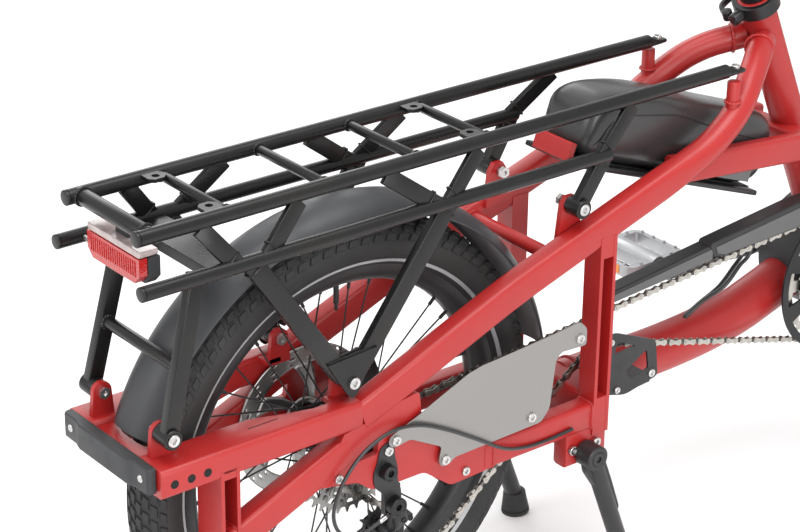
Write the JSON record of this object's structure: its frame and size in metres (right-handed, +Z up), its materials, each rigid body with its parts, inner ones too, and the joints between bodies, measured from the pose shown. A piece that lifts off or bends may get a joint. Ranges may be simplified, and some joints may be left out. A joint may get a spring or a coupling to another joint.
{
  "type": "cargo bicycle",
  "caption": "Compact cargo bicycle with a red tube frame, small fat wheels, a long rear rack, mid motor and battery, chain drive and a fold-down double stand.",
  "frame": {"origin": "centre of the bounding box in plan, on the ground under the tyres", "axes": "+X points forwards, from the rear bumper to the front wheel, +Y to the rider's left, +Z up"},
  "size_m": [1.867, 0.6804, 1.1221],
  "materials": {
    "frame_red": "satin",
    "rack_graphite": "satin",
    "black_plastic": "matte",
    "black_metal": "satin",
    "brushed_steel": "brushed",
    "bare_alloy": "satin",
    "rubber": "matte",
    "tyre_rubber": "matte",
    "red_lens": "gloss"
  },
  "bodies": {
    "frame": {"side_truss_right": "frame_red", "side_truss_left": "frame_red", "upper_stays": "frame_red", "seat_tube": "frame_red", "main_tube": "frame_red", "down_tube": "frame_red", "head_tube": "frame_red", "rack_deck": "rack_graphite", "rack_side_right": "rack_graphite", "rack_side_left": "rack_graphite", "rack_cross_plate": "rack_graphite", "rack_leg_brace": "rack_graphite", "bumper_pad": "black_plastic", "tail_light_housing": "black_plastic", "tail_light_lens": "red_lens", "rear_mudguard": "black_plastic", "motor": "black_plastic", "chain": "brushed_steel", "idler_bracket": "black_metal", "derailleur_body": "black_metal", "chain_case": "black_plastic", "guard_plate": "brushed_steel", "battery": "black_plastic", "battery_cradle": "black_plastic", "rear_caliper": "black_metal", "seat_clamp": "black_metal", "shift_cable": "black_plastic", "rear_axle": "brushed_steel"},
    "steering": {"fork": "frame_red", "front_mudguard": "black_plastic", "stem": "black_metal", "handlebar": "black_metal", "grip_right": "rubber", "grip_left": "rubber", "brake_clamp_right": "black_metal", "brake_clamp_left": "black_metal", "headlight": "black_plastic", "front_caliper": "black_metal", "front_axle": "brushed_steel"},
    "rear_wheel": {"rear_tyre": "tyre_rubber", "rear_rim": "black_metal", "rear_hub": "black_metal"},
    "freewheel": {"cassette": "brushed_steel"},
    "front_wheel": {"front_tyre": "tyre_rubber", "front_rim": "black_metal", "front_hub": "black_metal"},
    "cranks": {"crankset": "black_metal"},
    "right_pedal": {"pedal_right": "black_plastic"},
    "left_pedal": {"pedal_left": "black_plastic"},
    "idler": {"idler_wheel": "black_plastic"},
    "cage": {"derailleur_cage": "black_metal"},
    "guide": {"guide_pulley": "black_plastic"},
    "tension": {"tension_pulley": "black_plastic"},
    "post": {"seatpost": "black_metal", "saddle": "rubber"},
    "quick_release": {"clamp_lever": "black_metal"},
    "stand_shaft": {"stand": "black_metal"},
    "right_lever": {"brake_lever_right": "bare_alloy"},
    "left_lever": {"brake_lever_left": "bare_alloy"},
    "trigger": {"shift_trigger": "black_metal"}
  },
  "joints": [
    {"name": "rear_wheel_spin", "type": "hinge", "parent": "frame", "child": "rear_wheel", "pos_m": [-0.6385, 0, 0.262], "axis": [0, 1, 0], "continuous": true},
    {"name": "freewheel_spin", "type": "hinge", "parent": "frame", "child": "freewheel", "pos_m": [-0.6385, 0, 0.262], "axis": [0, 1, 0], "continuous": true},
    {"name": "crank_spin", "type": "hinge", "parent": "frame", "child": "cranks", "pos_m": [0.1065, 0, 0.275], "axis": [0, 1, 0], "continuous": true},
    {"name": "right_pedal_spin", "type": "hinge", "parent": "cranks", "child": "right_pedal", "pos_m": [0.2715, 0, 0.275], "axis": [0, 1, 0], "continuous": true},
    {"name": "left_pedal_spin", "type": "hinge", "parent": "cranks", "child": "left_pedal", "pos_m": [-0.0585, 0, 0.275], "axis": [0, 1, 0], "continuous": true},
    {"name": "idler_spin", "type": "hinge", "parent": "frame", "child": "idler", "pos_m": [-0.3005, 0, 0.272], "axis": [0, 1, 0], "continuous": true},
    {"name": "cage_swing", "type": "hinge", "parent": "frame", "child": "cage", "pos_m": [-0.6185, 0, 0.168], "axis": [0, 1, 0], "range_deg": [-8, 12], "stiffness_Nm_per_rad": 2, "deforming": ["chain"]},
    {"name": "guide_spin", "type": "hinge", "parent": "cage", "child": "guide", "pos_m": [-0.6185, 0, 0.168], "axis": [0, 1, 0], "continuous": true},
    {"name": "tension_spin", "type": "hinge", "parent": "cage", "child": "tension", "pos_m": [-0.5765, 0, 0.11], "axis": [0, 1, 0], "continuous": true},
    {"name": "steering_turn", "type": "hinge", "parent": "frame", "child": "steering", "pos_m": [0.4877, 0, 0.65], "axis": [-0.342, 0, 0.9397], "range_deg": [-70, 70]},
    {"name": "front_wheel_spin", "type": "hinge", "parent": "steering", "child": "front_wheel", "pos_m": [0.6715, 0, 0.262], "axis": [0, 1, 0], "continuous": true},
    {"name": "seatpost_slide", "type": "slide", "parent": "frame", "child": "post", "axis": [-0.408, 0, 0.913], "range_m": [-0.08, 0.06]},
    {"name": "clamp_lever_swing", "type": "hinge", "parent": "frame", "child": "quick_release", "pos_m": [-0.0559, 0.0145, 0.6279], "axis": [-0.408, 0, 0.913], "range_deg": [0, 110]},
    {"name": "stand_fold", "type": "hinge", "parent": "frame", "child": "stand_shaft", "pos_m": [-0.3505, 0, 0.19], "axis": [0, 1, 0], "range_deg": [0, 88]},
    {"name": "right_lever_pull", "type": "hinge", "parent": "steering", "child": "right_lever", "pos_m": [0.3091, -0.239, 1.1028], "axis": [0, 0, -1], "range_deg": [0, 18], "stiffness_Nm_per_rad": 1.5},
    {"name": "left_lever_pull", "type": "hinge", "parent": "steering", "child": "left_lever", "pos_m": [0.3091, 0.239, 1.1028], "axis": [0, 0, 1], "range_deg": [0, 18], "stiffness_Nm_per_rad": 1.5},
    {"name": "trigger_press", "type": "hinge", "parent": "steering", "child": "trigger", "pos_m": [0.2898, -0.2208, 1.0649], "axis": [0, 0, 1], "range_deg": [0, 18], "stiffness_Nm_per_rad": 0.5}
  ],
  "couplings": [
    {"joint": "freewheel_spin", "follows": "crank_spin", "ratio": 2.2},
    {"joint": "idler_spin", "follows": "crank_spin", "ratio": -4},
    {"joint": "tension_spin", "follows": "crank_spin", "ratio": 4},
    {"joint": "guide_spin", "follows": "crank_spin", "ratio": -4}
  ]
}
